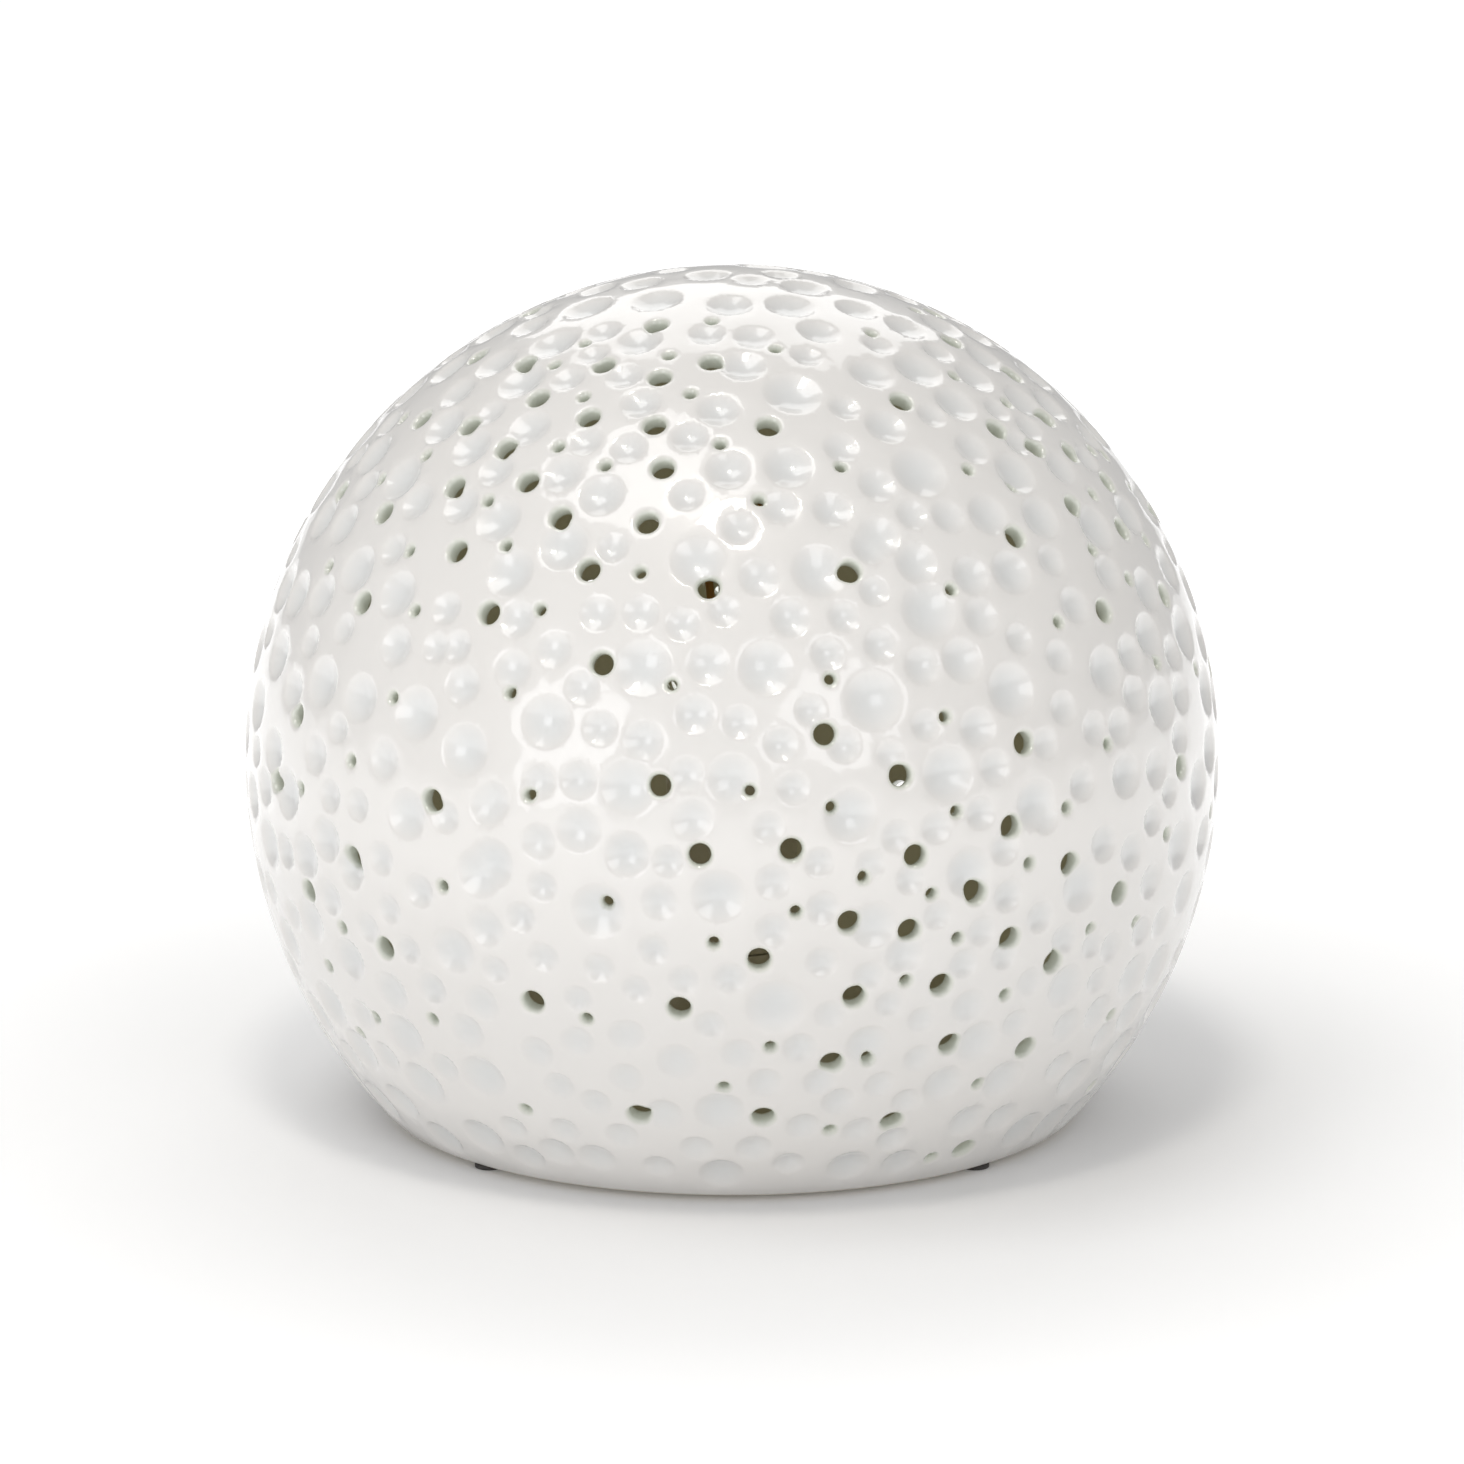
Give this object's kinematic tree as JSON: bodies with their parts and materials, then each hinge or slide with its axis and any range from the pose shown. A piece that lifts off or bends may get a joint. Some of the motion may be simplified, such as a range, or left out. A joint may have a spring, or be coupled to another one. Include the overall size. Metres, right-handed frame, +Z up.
{
  "type": "table lamp",
  "caption": "Glazed porcelain globe pierced with small round holes and dimples, open at the foot, standing loose over a steel base with a lampholder and candle bulb.",
  "frame": {"origin": "centre of the foot, on the table", "axes": "+Z up along the globe's axis, front towards -Y, cord notch towards +Y"},
  "size_m": [0.2, 0.2, 0.1744],
  "materials": {
    "porcelain": "glossy clear glaze over white porcelain",
    "felt": "pressed wool felt",
    "rubber": "matt moulded rubber",
    "painted_steel": "off-white powder coat",
    "zinc_steel": "bright zinc plate",
    "brass": "drawn brass",
    "white_resin": "moulded white resin",
    "steatite": "unglazed steatite",
    "nickel": "dull nickel plate",
    "black_glass": "black vitreous insulator",
    "solder": "tin solder",
    "clear_glass": "blown clear glass",
    "phosphor": "amber silicone coating"
  },
  "bodies": {
    "base": {"felt_pad": "felt", "base_dish": "painted_steel", "cord_grommet": "rubber", "nipple_tube": "zinc_steel", "toothed_washer": "zinc_steel", "lock_nut": "brass", "lampholder_cap": "white_resin", "grub_screw": "zinc_steel", "lampholder_shell": "white_resin", "lampholder_insert": "steatite", "terminal_screw_1": "brass", "terminal_screw_2": "brass", "screw_shell": "nickel", "centre_contact": "brass", "side_contact": "brass"},
    "globe": {"porcelain_globe": "porcelain", "foot_pad_1": "rubber", "foot_pad_2": "rubber", "foot_pad_3": "rubber", "foot_pad_4": "rubber"},
    "bulb_foot": {"bulb_contact": "solder"},
    "bulb": {"bulb_insulator": "black_glass", "bulb_cap": "nickel", "bulb_glass": "clear_glass", "bulb_stem": "clear_glass", "filament_1": "phosphor", "filament_2": "phosphor", "filament_3": "phosphor", "filament_4": "phosphor", "lower_wires": "nickel", "upper_wires": "nickel"}
  },
  "joints": [
    {"name": "globe_lift", "type": "slide", "parent": "base", "child": "globe", "axis": [0, 0, 1], "range_m": [0, 0.16]},
    {"name": "bulb_rise", "type": "slide", "parent": "base", "child": "bulb_foot", "axis": [0, 0, 1], "range_m": [0, 0.00705]},
    {"name": "bulb_turn", "type": "hinge", "parent": "bulb_foot", "child": "bulb", "pos_m": [0, 0, 0.06], "axis": [0, 0, 1], "range_deg": [0, 900]}
  ],
  "couplings": [
    {"joint": "bulb_turn", "follows": "bulb_rise", "rad_per_m": 2226.5}
  ]
}
